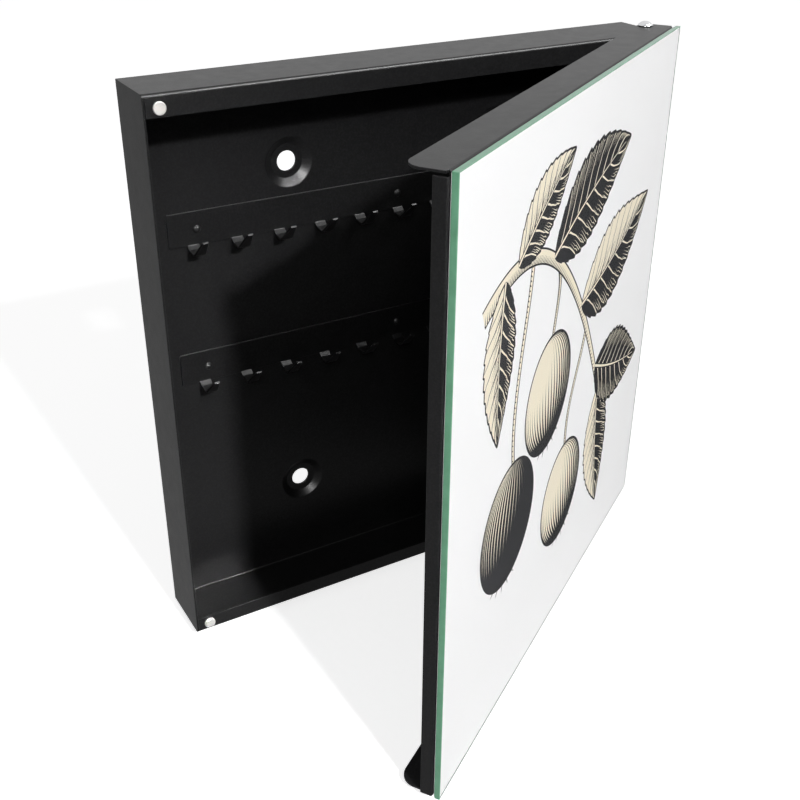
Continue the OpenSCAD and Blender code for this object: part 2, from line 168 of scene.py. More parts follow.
@dataclass(frozen=True)
class PowderCoat:
    """Polyester powder coat, sprayed and baked on steel sheet, satin black with a fine texture.

    The eye gets a near-black ground with paler flecks, a soft sheen on faces that turn to the
    light, a fine grain, and a painted highlight: a paler colour where the coat rounds over a cut
    edge.
    """

    name: str = "powder_coat_satin_black"
    colour: str = "#0f0f10"
    fleck: str = "#1c1c1d"
    # painted highlight: the paler colour laid along rounded cut edges
    edge: str = "#28282a"
    roughness: float = 0.38
    roughness_swing: float = 0.035
    specular: float = 0.18
    grain_mm: float = 0.9  # the real grain is about 0.3 mm, which the picture can't show
    grain_depth_mm: float = 0.15
    grain_strength: float = 0.28
    fleck_range: tuple[float, float] = (0.42, 0.68)  # levels of the grain between the two colours
    wave_mm: float = 6.0
    edge_round_mm: float = 0.35
    edge_samples: int = 6
    edge_highlight_range: tuple[float, float] = (0.995, 0.85)  # cosine of the turn, from flat to rounded, over which the painted highlight colour comes in

    def material(self) -> Material:
        """Builds the material: grain in colour, gloss and relief, and rounded sheet edges with a
        painted highlight colour.

        Returns:
            The material.
        """
        material, tree, out = begin_material(self.name)
        fine = grain(tree, self.grain_mm, detail=3.0, roughness=0.65)
        wave = grain(tree, self.wave_mm, detail=1.0)
        round_edge = add_node(tree, "ShaderNodeBevel",
                              {"samples": self.edge_samples, "Radius": self.edge_round_mm * MM})
        geometry = add_node(tree, "ShaderNodeNewGeometry")
        facing = add_node(tree, "ShaderNodeVectorMath", {"operation": "DOT_PRODUCT"},
                          {0: round_edge.outputs["Normal"], 1: geometry.outputs["Normal"]})
        edge_highlight_mask = add_node(tree, "ShaderNodeMapRange",
                             {"From Min": self.edge_highlight_range[0], "From Max": self.edge_highlight_range[1]},
                             {"Value": facing.outputs["Value"]})
        fleck_mask = add_node(tree, "ShaderNodeMapRange",
                              {"From Min": self.fleck_range[0], "From Max": self.fleck_range[1]},
                              {"Value": fine.outputs[0]})
        ground = add_node(tree, "ShaderNodeMix",
                          {"data_type": "RGBA", 6: linear(self.colour), 7: linear(self.fleck)},
                          {0: fleck_mask.outputs["Result"]})
        # painted highlight: the edge colour is laid where the bevel turns the normal
        colour = add_node(tree, "ShaderNodeMix", {"data_type": "RGBA", 7: linear(self.edge)},
                          {0: edge_highlight_mask.outputs["Result"], 6: ground.outputs[2]})
        gloss = add_node(tree, "ShaderNodeMapRange",
                         {"To Min": self.roughness - self.roughness_swing,
                          "To Max": self.roughness + self.roughness_swing},
                         {"Value": wave.outputs[0]})
        relief = add_node(tree, "ShaderNodeBump",
                          {"Strength": self.grain_strength, "Distance": self.grain_depth_mm * MM},
                          {"Height": fine.outputs[0], "Normal": round_edge.outputs["Normal"]})
        shader = add_node(tree, "ShaderNodeBsdfPrincipled", {"Specular IOR Level": self.specular},
                          {"Base Color": colour.outputs[2], "Roughness": gloss.outputs["Result"],
                           "Normal": relief.outputs["Normal"]})
        tree.links.new(shader.outputs[0], out.inputs["Surface"])
        return material


@dataclass(frozen=True)
class PlatedMetal:
    """Metal plating on steel or a sintered magnet: nickel or zinc, barrel plated.

    The eye gets a pale metal whose gloss varies a little, with fine handling marks.
    """

    name: str
    colour: str
    roughness: float
    roughness_shares: tuple[float, float] = (0.7, 1.35)  # least and most, as shares of roughness
    mark_mm: float = 0.8  # real marks are about 0.2 mm, which the picture can't show
    mark_depth_mm: float = 0.05
    mark_strength: float = 0.12
    edge_round_mm: float = 0.15
    edge_samples: int = 4

    def material(self) -> Material:
        """Builds the material: clouded gloss, fine marks and softly rounded edges.

        Returns:
            The material.
        """
        material, tree, out = begin_material(self.name)
        marks = grain(tree, self.mark_mm, detail=4.0, roughness=0.7)
        least, most = self.roughness_shares
        gloss = add_node(tree, "ShaderNodeMapRange",
                         {"To Min": self.roughness * least, "To Max": self.roughness * most},
                         {"Value": marks.outputs[0]})
        round_edge = add_node(tree, "ShaderNodeBevel",
                              {"samples": self.edge_samples, "Radius": self.edge_round_mm * MM})
        relief = add_node(tree, "ShaderNodeBump",
                          {"Strength": self.mark_strength, "Distance": self.mark_depth_mm * MM},
                          {"Height": marks.outputs[0], "Normal": round_edge.outputs["Normal"]})
        shader = add_node(tree, "ShaderNodeBsdfPrincipled",
                          {"Base Color": linear(self.colour), "Metallic": 1.0},
                          {"Roughness": gloss.outputs["Result"],
                           "Normal": relief.outputs["Normal"]})
        tree.links.new(shader.outputs[0], out.inputs["Surface"])
        return material


@dataclass(frozen=True)
class BlackLacquer:
    """Thin stoving lacquer on the heads of steel rivets, dipped and baked.

    The eye gets a black without the coat's grain, with a small soft highlight.
    """

    name: str = "stoved_lacquer_black"
    colour: str = "#1b1b1c"
    roughness: float = 0.5
    roughness_swing: float = 0.08
    specular: float = 0.1
    cloud_mm: float = 1.2

    def material(self) -> Material:
        """Builds the material: black lacquer with a slightly uneven gloss.

        Returns:
            The material.
        """
        material, tree, out = begin_material(self.name)
        clouds = grain(tree, self.cloud_mm)
        gloss = add_node(tree, "ShaderNodeMapRange",
                         {"To Min": self.roughness - self.roughness_swing,
                          "To Max": self.roughness + self.roughness_swing},
                         {"Value": clouds.outputs[0]})
        shader = add_node(tree, "ShaderNodeBsdfPrincipled",
                          {"Base Color": linear(self.colour), "Specular IOR Level": self.specular},
                          {"Roughness": gloss.outputs["Result"]})
        tree.links.new(shader.outputs[0], out.inputs["Surface"])
        return material


@dataclass(frozen=True)
class SoftPlastic:
    """Black nylon or closed-cell foam: turned washers, and the tape that holds the pane.

    The eye gets a dull black, with open cells where it is foam, and painted shade in the cells'
    hollows.
    """

    name: str
    colour: str
    roughness: float
    cell_mm: float  # drawn about twice as coarse as it is, or the picture couldn't show it
    cell_depth_mm: float
    cell_strength: float = 0.5
    hollow_shade_range: tuple[float, float] = (0.75, 1.1)  # of the colour, from a cell's middle outwards: painted shade, darkest in the cells' hollows

    def material(self) -> Material:
        """Builds the material: cells or turning marks as relief on a dull ground, with painted
        shade darkening the cells' hollows.

        Returns:
            The material.
        """
        material, tree, out = begin_material(self.name)
        place = add_node(tree, "ShaderNodeTexCoord")
        cells = add_node(tree, "ShaderNodeTexVoronoi", {"Scale": 1 / (self.cell_mm * MM)},
                         {"Vector": place.outputs["Object"]})
        # painted shade: the colour is darkest at each cell's middle, where the relief is lowest
        shade = add_node(tree, "ShaderNodeMapRange",
                         {"To Min": self.hollow_shade_range[0], "To Max": self.hollow_shade_range[1]},
                         {"Value": cells.outputs["Distance"]})
        colour = add_node(tree, "ShaderNodeVectorMath",
                          {"operation": "SCALE", 0: linear(self.colour)[:3]},
                          {"Scale": shade.outputs["Result"]})
        relief = add_node(tree, "ShaderNodeBump",
                          {"Strength": self.cell_strength, "Distance": self.cell_depth_mm * MM},
                          {"Height": cells.outputs["Distance"]})
        shader = add_node(tree, "ShaderNodeBsdfPrincipled", {"Roughness": self.roughness},
                          {"Base Color": colour.outputs["Vector"],
                           "Normal": relief.outputs["Normal"]})
        tree.links.new(shader.outputs[0], out.inputs["Surface"])
        return material


@dataclass(frozen=True)
class FloatGlass:
    """Float glass with an anti-reflective coat, as used for framed pictures.

    The eye gets a clear face that bends what is behind it and mirrors a little at every angle.
    Lamps and bounced light pass straight through, so the print behind is lit as if the pane
    weren't there.
    """

    name: str
    ior: float
    mirror: float  # a coated face mirrors about 1 in 100 parts, an uncoated one 4
    tint: str = "#fefefe"

    def material(self) -> Material:
        """Builds the material: glass for what the eye sees, open air for shadows and bounces.

        Returns:
            The material.
        """
        material, tree, out = begin_material(self.name)
        clear = add_node(tree, "ShaderNodeBsdfRefraction",
                         {"Color": linear(self.tint), "Roughness": 0.0, "IOR": self.ior})
        gloss = add_node(tree, "ShaderNodeBsdfAnisotropic", {"Color": WHITE, "Roughness": 0.0})
        glass = add_node(tree, "ShaderNodeMixShader", {0: self.mirror},
                         {1: clear.outputs[0], 2: gloss.outputs[0]})
        tree.links.new(open_to_light(tree, glass.outputs[0]), out.inputs["Surface"])
        return material


@dataclass(frozen=True)
class GroundGlassEdge:
    """The ground and polished edge of float glass.

    The eye gets the sheet's own green from outside. From inside, through the front of the
    pane, the edge mirrors the print, as total reflection does.
    """

    name: str = "float_glass_edge_polished"
    colour: str = "#5f9a78"
    pale: str = "#74b08e"
    roughness: float = 0.22
    ior: float = 1.52
    streak_mm: float = 5.0
    inner_tint: str = "#f2f7f4"
    inner_roughness: float = 0.02

    def material(self) -> Material:
        """Builds the material: green with faint streaks along the edge and a clear gloss.

        Returns:
            The material.
        """
        material, tree, out = begin_material(self.name)
        streaks = grain(tree, self.streak_mm)
        colour = add_node(tree, "ShaderNodeMix",
                          {"data_type": "RGBA", 6: linear(self.colour), 7: linear(self.pale)},
                          {0: streaks.outputs[0]})
        outside = add_node(tree, "ShaderNodeBsdfPrincipled",
                           {"Roughness": self.roughness, "IOR": self.ior},
                           {"Base Color": colour.outputs[2]})
        inside = add_node(tree, "ShaderNodeBsdfAnisotropic",
                          {"Color": linear(self.inner_tint), "Roughness": self.inner_roughness})
        geometry = add_node(tree, "ShaderNodeNewGeometry")
        mix = add_node(tree, "ShaderNodeMixShader", None,
                       {0: geometry.outputs["Backfacing"], 1: outside.outputs[0],
                        2: inside.outputs[0]})
        tree.links.new(open_to_light(tree, mix.outputs[0]), out.inputs["Surface"])
        return material


@dataclass(frozen=True)
class PrintedFilm:
    """Coated polyester film and the pigment inks printed on it.

    The eye gets an even ground with a very faint tooth, and inks that look a little uneven.
    """

    name: str
    colour: str
    shade: str
    roughness: float = 0.55
    specular: float = 0.2
    tooth_mm: float = 1.2  # the real tooth is under 0.1 mm, which the picture can't show

    def material(self) -> Material:
        """Builds the material: two close tones mixed by a fine tooth.

        Returns:
            The material.
        """
        material, tree, out = begin_material(self.name)
        tooth = grain(tree, self.tooth_mm, detail=3.0)
        colour = add_node(tree, "ShaderNodeMix",
                          {"data_type": "RGBA", 6: linear(self.colour), 7: linear(self.shade)},
                          {0: tooth.outputs[0]})
        shader = add_node(tree, "ShaderNodeBsdfPrincipled",
                          {"Roughness": self.roughness, "Specular IOR Level": self.specular},
                          {"Base Color": colour.outputs[2]})
        tree.links.new(shader.outputs[0], out.inputs["Surface"])
        return material


@dataclass(frozen=True)
class LidPlane:
    """Turns places on the closed lid into places on the lid as it rests, part open."""

    pivot: Vector
    open_rad: float

    @classmethod
    def from_joint(cls, joint: dict) -> "LidPlane":
        """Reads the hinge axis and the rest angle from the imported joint."""
        return cls(Vector(joint["pos_m"]), -math.radians(joint["range_deg"][0]))

    def turned(self, place: Vector, sign: float = 1.0) -> Vector:
        """Turns a closed place to the rest angle, or back with a sign of -1."""
        return self.pivot + Matrix.Rotation(sign * self.open_rad, 3, "Z") @ (place - self.pivot)

    def closed_box(self, node: str) -> tuple[Vector, Vector]:
        """Finds a node's corners in the closed lid.

        Args:
            node: Name of a CAD node that rides on the lid.

        Returns:
            Its lowest and highest corner, before the lid is turned open.
        """
        places = [self.turned(v.co, -1.0) for v in frame["nodes"][node].data.vertices]
        low = Vector([min(p[i] for p in places) for i in range(3)])
        high = Vector([max(p[i] for p in places) for i in range(3)])
        return low, high


def mesh_object(name: str, build: bmesh.types.BMesh,
                materials: Sequence[Material]) -> bpy.types.Object:
    """Turns a mesh under construction into a linked object.

    Args:
        name: The piece's name.
        build: The mesh under construction, which is freed.
        materials: Its materials, in the order of its faces' numbers.

    Returns:
        The new object.
    """
    mesh = bpy.data.meshes.new(name)
    build.to_mesh(mesh)
    build.free()
    for material in materials:
        mesh.materials.append(material)
    piece = bpy.data.objects.new(name, mesh)
    bpy.context.scene.collection.objects.link(piece)
    return piece


def dress(nodes: Iterable[str], material: Material) -> None:
    """Gives CAD nodes a finish.

    Args:
        nodes: Names of the CAD nodes.
        material: The finish's material.
    """
    for name in nodes:
        piece = frame["nodes"][name]
        if not piece.material_slots:
            piece.data.materials.append(material)
        for slot in piece.material_slots:
            slot.material = material
        LOG.info("dressed %s in %s", name, material.name)


class Ink(Enum):
    """The two inks of the print, by the number of their material."""

    BLACK = 0
    CREAM = 1


@dataclass
class InkSheet:
    """Flat ink shapes on the film, each laid a hair in front of the one before."""

    lid: LidPlane
    left: float  # the picture's lower left corner on the closed lid, in metres
    low: float
    deepest: float  # where the ink starts, in metres along Y on the closed lid
    step: float = 0.0015 * MM  # from one layer to the next
    layer: int = 0
    build: bmesh.types.BMesh = field(default_factory=bmesh.new)

    def over(self) -> None:
        """Starts the next layer, in front of all ink laid so far."""
        self.layer += 1

    def vertex(self, point: Point) -> bmesh.types.BMVert:
        """Adds a vertex at a place on the picture, given in millimetres from its lower left."""
        place = Vector((self.left + point[0] * MM, self.deepest - self.layer * self.step,
                        self.low + point[1] * MM))
        return self.build.verts.new(self.lid.turned(place))

    def fill(self, outline: Sequence[Point], ink: Ink) -> None:
        """Fills a convex outline.

        Args:
            outline: Its points in order.
            ink: The ink to use.
        """
        face = self.build.faces.new([self.vertex(p) for p in outline])
        face.material_index = ink.value

    def band(self, one: Sequence[Point], other: Sequence[Point], ink: Ink) -> None:
        """Fills the strip between two lines with as many points.

        Args:
            one: The first line.
            other: The second line, which runs the same way.
            ink: The ink to use.
        """
        rows = [(self.vertex(a), self.vertex(b)) for a, b in zip(one, other)]
        for (a, b), (c, d) in zip(rows, rows[1:]):
            face = self.build.faces.new((a, b, d, c))
            face.material_index = ink.value

    def stroke(self, path: Sequence[Point], widths: Sequence[float], ink: Ink) -> None:
        """Draws a line whose width changes along it, as a graver cuts it.

        Args:
            path: Points along the middle of the line.
            widths: Its full width at each point, in millimetres.
            ink: The ink to use.
        """
        one, other = [], []
        for i, (x, y) in enumerate(path):
            (x0, y0), (x1, y1) = path[max(i - 1, 0)], path[min(i + 1, len(path) - 1)]
            run = math.hypot(x1 - x0, y1 - y0) or 1.0
            nx, ny = -(y1 - y0) / run, (x1 - x0) / run
            half = widths[i] / 2
            one.append((x + nx * half, y + ny * half))
            other.append((x - nx * half, y - ny * half))
        self.band(one, other, ink)

    def piece(self, name: str, materials: Sequence[Material]) -> bpy.types.Object:
        """Ends the sheet and returns all its ink as one object."""
        bmesh.ops.recalc_face_normals(self.build, faces=self.build.faces)
        return mesh_object(name, self.build, materials)


def spread(count: int, start: float = 0.0, end: float = 1.0) -> list[float]:
    """Gives evenly spaced numbers from start to end, both included."""
    return [start + (end - start) * i / (count - 1) for i in range(count)]


class Tone(Enum):
    """How a leaf is inked: which of its halves are dark."""

    LEFT_DARK = (1,)
    RIGHT_DARK = (-1,)
    DARK = (1, -1)


@dataclass(frozen=True)
class Leaf:
    """A saw-edged leaf whose halves are light or dark, in millimetres and degrees."""

    base: Point
    heading: float
    length: float
    width: float
    curl: float
    tone: Tone
    teeth: int = 13
    veins: int = 8

    STEPS = 79  # points along the rib and along each margin
    TOOTH_DEPTH = 0.09  # share of the half width
    TEETH_END = 0.97  # the tip has no teeth
    BELLY = (0.78, 0.92)  # powers that move the widest place towards the base and fill it out
    VEINED = (0.05, 0.86)  # where on the rib the veins begin, and over how much of it they go on
    LINES = 5  # a vein and the hatching up to the next one
    LEAN = 0.17  # how far a line runs on towards the tip, as a share of the rib
    VEIN_STEPS = 7
    VEIN_END = 0.995  # no vein runs past this place on the rib
    HATCH_STEPS = 6
    HATCH_END = 0.99
    OUTLINE_MM = 1.1
    RIB_MM = (3.0, 1.0)
    RIB_LIGHT_MM = (1.5, 0.3)
    RIB_LIGHT_SHORT = 6  # steps by which the light line stays short of the tip
    DARK_HATCH = (0.5, 0.93)  # shares of the way from the rib to the margin
    DARK_HATCH_MM = (0.05, 0.5)
    DARK_VEIN = 0.9
    DARK_VEIN_MM = (1.1, 0.3)
    LIGHT_HATCH = (0.42, 0.16, 2.4)  # middle reach, how much it varies, and its turn per line
    LIGHT_HATCH_MM = (0.62, 0.06)
    LIGHT_VEIN = 0.97
    LIGHT_VEIN_MM = (1.0, 0.35)

    def rib(self, t: float) -> tuple[Point, Point]:
        """Gives the middle rib's place and left-hand normal.

        Args:
            t: The share of the rib's length, from 0 at the base.

        Returns:
            The place and the normal.
        """
        a = math.radians(self.heading)
        along, across = (math.cos(a), math.sin(a)), (-math.sin(a), math.cos(a))
        rise, slope = self.curl * t * t, 2 * self.curl * t
        place = (self.base[0] + self.length * (t * along[0] + rise * across[0]),
                 self.base[1] + self.length * (t * along[1] + rise * across[1]))
        size = math.hypot(1, slope)
        normal = ((across[0] - slope * along[0]) / size, (across[1] - slope * along[1]) / size)
        return place, normal

    def at(self, t: float, side: int, reach: float) -> Point:
        """Gives a place on a half of the leaf.

        Args:
            t: The share of the rib's length, from 0 at the base.
            side: The side of the rib, 1 or -1.
            reach: The share of the way from the rib to the margin.

        Returns:
            The place.
        """
        (x, y), (nx, ny) = self.rib(t)
        toothed = 0.0 < t < self.TEETH_END
        tooth = 1 + self.TOOTH_DEPTH * ((t * self.teeth) % 1.0 - 0.5) * toothed
        shift, fullness = self.BELLY
        belly = math.sin(math.pi * t ** shift) ** fullness
        out = reach * side * tooth * self.width / 2 * belly
        return x + nx * out, y + ny * out

    def margin(self, side: int) -> list[Point]:
        """Gives the saw-edged margin of one side."""
        return [self.at(t, side, 1.0) for t in spread(self.STEPS)]

    def vein(self, t: float, side: int, reach: float) -> list[Point]:
        """Gives a vein or hatch line that leaves the rib at t and leans towards the tip."""
        return [self.at(min(t + self.LEAN * s, self.VEIN_END), side, s * reach)
                for s in spread(self.VEIN_STEPS)]

    def draw(self, sheet: InkSheet) -> None:
        """Draws the leaf: ground tones, hatching, veins, rib and outline.

        Args:
            sheet: The ink to draw with.
        """
        rib = [self.rib(t)[0] for t in spread(self.STEPS)]
        dark = {side: side in self.tone.value for side in (1, -1)}
        sheet.over()
        for side in dark:
            sheet.band(rib, self.margin(side), Ink.BLACK if dark[side] else Ink.CREAM)
        sheet.over()
        start, stretch = self.VEINED
        count = self.veins * self.LINES
        for i in range(count):
            for side in dark:
                self.draw_line(sheet, start + stretch * i / count, i, side, dark[side])
        sheet.over()
        for side in dark:
            sheet.stroke(self.margin(side), [self.OUTLINE_MM] * self.STEPS, Ink.BLACK)
        sheet.stroke(rib, spread(self.STEPS, *self.RIB_MM), Ink.BLACK)
        sheet.over()
        light = rib[:-self.RIB_LIGHT_SHORT]
        sheet.stroke(light, spread(len(light), *self.RIB_LIGHT_MM), Ink.CREAM)

    def draw_line(self, sheet: InkSheet, t: float, i: int, side: int, dark: bool) -> None:
        """Draws one line of a half leaf: a vein at every fifth place, and hatching between.

        Args:
            sheet: The ink to draw with.
            t: Where the line leaves the rib.
            i: The line's number.
            side: The side of the rib, 1 or -1.
            dark: Whether that half is dark.
        """
        hatching = i % self.LINES != 0
        if dark and hatching:
            path = [self.at(min(t + self.LEAN * s, self.HATCH_END), side, s)
                    for s in spread(self.HATCH_STEPS, *self.DARK_HATCH)]
            widths, ink = self.DARK_HATCH_MM, Ink.CREAM
        elif dark:
            path = self.vein(t, side, self.DARK_VEIN)
            widths, ink = self.DARK_VEIN_MM, Ink.CREAM
        elif hatching:
            middle, swing, turn = self.LIGHT_HATCH
            path = self.vein(t, side, middle + swing * math.sin(i * turn))
            widths, ink = self.LIGHT_HATCH_MM, Ink.BLACK
        else:
            path = self.vein(t, side, self.LIGHT_VEIN)
            widths, ink = self.LIGHT_VEIN_MM, Ink.BLACK
        sheet.stroke(path, spread(len(path), *widths), ink)


@dataclass(frozen=True)
class Fruit:
    """A round fruit, hatched along its meridians by the light that falls on it.

    Its sizes are in millimetres and degrees.
    """

    centre: Point
    radius: float
    tilt: float
    dark: bool

    LIGHT = (-0.52, 0.58, 0.63)  # the way to the light: right, up, and out of the picture
    RIM_STEPS = 73
    OUTLINE_MM = 1.3
    LINES = 23
    LINE_STEPS = 37
    LONGITUDE = 82  # how far round the lines are spread, to each side
    LATITUDE = 80  # how far up and down a line runs
    CREAM_LINE = (0.8, 0.45, 1.2)  # share of the pitch, the light where it starts, and its power
    BLACK_LINE = (0.95, 0.86, 1.1)
    TAPER = 0.5  # power by which a line thins towards the poles
    HAIRS = 5
    HAIR_TURN = 0.9  # radians to each side of the foot, before the next two shares
    HAIR_ROOT, HAIR_TIP = 0.35, 1.1
    HAIR_FROM, HAIR_LENGTH = 0.93, 0.2  # shares of the radius
    HAIR_MM = (1.6, 0.3)

    def place(self, longitude: float, latitude: float) -> tuple[Point, float]:
        """Gives a place on the ball, as the picture shows it.

        Args:
            longitude: Angle round the fruit, in radians.
            latitude: Angle up the fruit, in radians.

        Returns:
            The place, and how brightly it is lit, from 0 to 1.
        """
        x = math.sin(longitude) * math.cos(latitude)
        y = math.sin(latitude)
        z = math.cos(longitude) * math.cos(latitude)
        a = math.radians(self.tilt)
        x, y = x * math.cos(a) - y * math.sin(a), x * math.sin(a) + y * math.cos(a)
        lit = max(0.0, x * self.LIGHT[0] + y * self.LIGHT[1] + z * self.LIGHT[2])
        return (self.centre[0] + self.radius * x, self.centre[1] + self.radius * y), lit

    def away(self, start: Point, angle: float, share: float = 1.0) -> Point:
        """Gives the place at an angle from a start, a share of the radius away."""
        return (start[0] + share * self.radius * math.cos(angle),
                start[1] + share * self.radius * math.sin(angle))

    def swell(self, lit: float) -> float:
        """Gives how broad a line is, by the light.

        Args:
            lit: How brightly the place is lit, from 0 to 1.

        Returns:
            The share of the lines' pitch that the line fills.
        """
        if self.dark:
            share, start, power = self.CREAM_LINE
            return share * max(0.0, lit - start) ** power
        share, start, power = self.BLACK_LINE
        return share * max(0.0, start - lit) ** power

    def draw(self, sheet: InkSheet) -> None:
        """Draws the fruit: ground tone, meridians that swell by the light, outline and hairs.

        Args:
            sheet: The ink to draw with.
        """
        rim = [self.away(self.centre, a) for a in spread(self.RIM_STEPS, 0.0, 2 * math.pi)]
        sheet.over()
        sheet.fill(rim[:-1], Ink.BLACK if self.dark else Ink.CREAM)
        sheet.over()
        reach, pole = math.radians(self.LONGITUDE), math.radians(self.LATITUDE)
        latitudes = spread(self.LINE_STEPS, -pole, pole)
        for longitude in spread(self.LINES, -reach, reach):
            pitch = self.radius * math.cos(longitude) * 2 * reach / (self.LINES - 1)
            spots = [self.place(longitude, latitude) for latitude in latitudes]
            widths = [pitch * self.swell(lit) * math.cos(latitude) ** self.TAPER
                      for (_, lit), latitude in zip(spots, latitudes)]
            sheet.stroke([p for p, _ in spots], widths, Ink.CREAM if self.dark else Ink.BLACK)
        sheet.over()
        sheet.stroke(rim, [self.OUTLINE_MM] * len(rim), Ink.BLACK)
        foot = math.radians(self.tilt - 90)
        for turn in spread(self.HAIRS, -self.HAIR_TURN, self.HAIR_TURN):
            root = self.away(self.centre, foot + turn * self.HAIR_ROOT, self.HAIR_FROM)
            tip = self.away(root, foot + turn * self.HAIR_TIP, self.HAIR_LENGTH)
            sheet.stroke([root, tip], self.HAIR_MM, Ink.BLACK)


@dataclass(frozen=True)
class Twig:
    """A bent woody stem, cream with a hatched underside, in millimetres."""

    points: tuple[Point, Point, Point, Point]
    thick: float
    thin: float
    steps: int = 90

    OUTLINE_MM = 1.8  # what the outline adds to the width
    HATCH_ROOT = 0.5  # shares of the width: from the shaded edge,
    HATCH_PAST = 0.08  # past the middle,
    HATCH_LEAN = 0.3  # and on along the stem
    HATCH_MM = (0.9, 0.15)

    def at(self, t: float) -> Point:
        """Gives the place at t from 0, the cut end, to 1 along the bend."""
        weights = ((1 - t) ** 3, 3 * t * (1 - t) ** 2, 3 * t * t * (1 - t), t ** 3)
        return (sum(w * p[0] for w, p in zip(weights, self.points)),
                sum(w * p[1] for w, p in zip(weights, self.points)))

    def draw(self, sheet: InkSheet) -> None:
        """Draws the stem: outline, cream wood and short hatch lines on its shaded side.

        Args:
            sheet: The ink to draw with.
        """
        path = [self.at(t) for t in spread(self.steps)]
        widths = spread(self.steps, self.thick, self.thin)
        sheet.over()
        sheet.stroke(path, [w + self.OUTLINE_MM for w in widths], Ink.BLACK)
        sheet.over()
        sheet.stroke(path, widths, Ink.CREAM)
        sheet.over()
        for (x0, y0), (x1, y1), w in zip(path, path[1:], widths):
            run = math.hypot(x1 - x0, y1 - y0) or 1.0
            tx, ty = (x1 - x0) / run, (y1 - y0) / run
            root, past, lean = w * self.HATCH_ROOT, w * self.HATCH_PAST, w * self.HATCH_LEAN
            start = (x0 + ty * root, y0 - tx * root)
            end = (x0 - ty * past + tx * lean, y0 + tx * past + ty * lean)
            sheet.stroke([start, end], self.HATCH_MM, Ink.BLACK)


@dataclass
class PrintedPicture:
    """The film behind the glass, with a made-up fruit twig printed on it in two inks."""

    lid: LidPlane
    ink_room_mm: float = 0.14  # how far the film lies behind the front of its room
    gap_mm: float = 0.02  # from the film to the first layer of ink
    edge_in_mm: float = 0.4

    def twigs(self) -> list[Twig]:
        """Gives the main stem and the stalks of the fruit."""
        return [
            Twig(((84, 240), (84, 214), (66, 180), (74, 142)), 2.8, 2.0, 40),
            Twig(((112, 228), (128, 222), (122, 206), (118, 188)), 2.8, 2.0, 40),
            Twig(((172, 172), (166, 150), (148, 138), (152, 112)), 2.6, 1.8, 40),
            Twig(((30, 232), (95, 262), (150, 215), (205, 120)), 7.5, 3.0),
        ]

    def leaves(self) -> list[Leaf]:
        """Gives the leaves, from the back to the front."""
        return [
            Leaf((52, 240), -98, 76, 34, 0.14, Tone.LEFT_DARK),
            Leaf((66, 242), 34, 72, 32, -0.12, Tone.RIGHT_DARK),
            Leaf((112, 230), 22, 112, 46, -0.13, Tone.DARK),
            Leaf((160, 188), 6, 112, 48, 0.14, Tone.RIGHT_DARK),
            Leaf((205, 120), -84, 88, 40, 0.12, Tone.LEFT_DARK),
            Leaf((196, 138), -26, 92, 44, 0.14, Tone.DARK),
        ]

    def fruits(self) -> list[Fruit]:
        """Gives the fruits, which hang in front of the leaves."""
        return [
            Fruit((118, 158), 31, 8, False),
            Fruit((72, 110), 33, -6, True),
            Fruit((152, 82), 30, 12, False),
        ]

    def make(self, paper: Material, inks: Sequence[Material]) -> list[bpy.types.Object]:
        """Builds the film and its ink in the room that the CAD film holds.

        Args:
            paper: The film's material.
            inks: The black and the cream ink's materials.

        Returns:
            The film and the ink.
        """
        low, high = self.lid.closed_box("picture_film")
        build = bmesh.new()
        front = low.y + self.ink_room_mm * MM
        inset = self.edge_in_mm * MM
        corners = [(low.x + inset, low.z + inset), (high.x - inset, low.z + inset),
                   (high.x - inset, high.z - inset), (low.x + inset, high.z - inset)]
        rings = [[build.verts.new(self.lid.turned(Vector((x, y, z)))) for x, z in corners]
                 for y in (front, high.y)]
        build.faces.new(rings[0])
        build.faces.new(rings[1])
        for i in range(4):
            j = (i + 1) % 4
            build.faces.new((rings[0][i], rings[0][j], rings[1][j], rings[1][i]))
        bmesh.ops.recalc_face_normals(build, faces=build.faces)
        film = mesh_object("printed_film", build, [paper])
        sheet = InkSheet(self.lid, low.x, low.z, front - self.gap_mm * MM)
        for twig in self.twigs():
            twig.draw(sheet)
        for leaf in self.leaves():
            leaf.draw(sheet)
        for fruit in self.fruits():
            fruit.draw(sheet)
        ink = sheet.piece("print_ink", inks)
        return [film, ink]


@dataclass
class GlassPane:
    """The lid's pane, with ground edges and small rounded corners."""

    lid: LidPlane
    arris_mm: float = 0.3
    corner_mm: float = 0.5
    corner_steps: int = 5

    def outline(self, low: Vector, high: Vector, inset: float) -> list[Point]:
        """Gives the pane's outline with rounded corners.

        Args:
            low: The pane's lowest corner in the closed lid.
            high: Its highest corner.
            inset: How far the outline is drawn in, in metres.

        Returns:
            Its points in order, in metres.
        """
        radius = self.corner_mm * MM
        centres = [(high.x - radius, high.z - radius, 0), (low.x + radius, high.z - radius, 90),
                   (low.x + radius, low.z + radius, 180), (high.x - radius, low.z + radius, 270)]
        points = []
        for x, z, start in centres:
            for a in spread(self.corner_steps, math.radians(start), math.radians(start + 90)):
                points.append((x + (radius - inset) * math.cos(a),
                               z + (radius - inset) * math.sin(a)))
        return points

    def make(self, face: Material, edge: Material, back: Material) -> bpy.types.Object:
        """Builds the pane.

        Args:
            face: Material of the front face.
            edge: Material of the ground edges.
            back: Material of the face that is bonded to the film.

        Returns:
            The pane.
        """
        low, high = self.lid.closed_box("glass_front")
        arris = self.arris_mm * MM
        levels = [(low.y, arris), (low.y + arris, 0.0), (high.y - arris, 0.0), (high.y, arris)]
        build = bmesh.new()
        rings = [[build.verts.new(self.lid.turned(Vector((x, y, z))))
                  for x, z in self.outline(low, high, inset)] for y, inset in levels]
        build.faces.new(rings[0]).material_index = 0
        build.faces.new(rings[-1]).material_index = 2
        count = len(rings[0])
        for one, other in zip(rings, rings[1:]):
            for i in range(count):
                j = (i + 1) % count
                build.faces.new((one[i], one[j], other[j], other[i])).material_index = 1
        bmesh.ops.recalc_face_normals(build, faces=build.faces)
        return mesh_object("glass_pane", build, [face, edge, back])


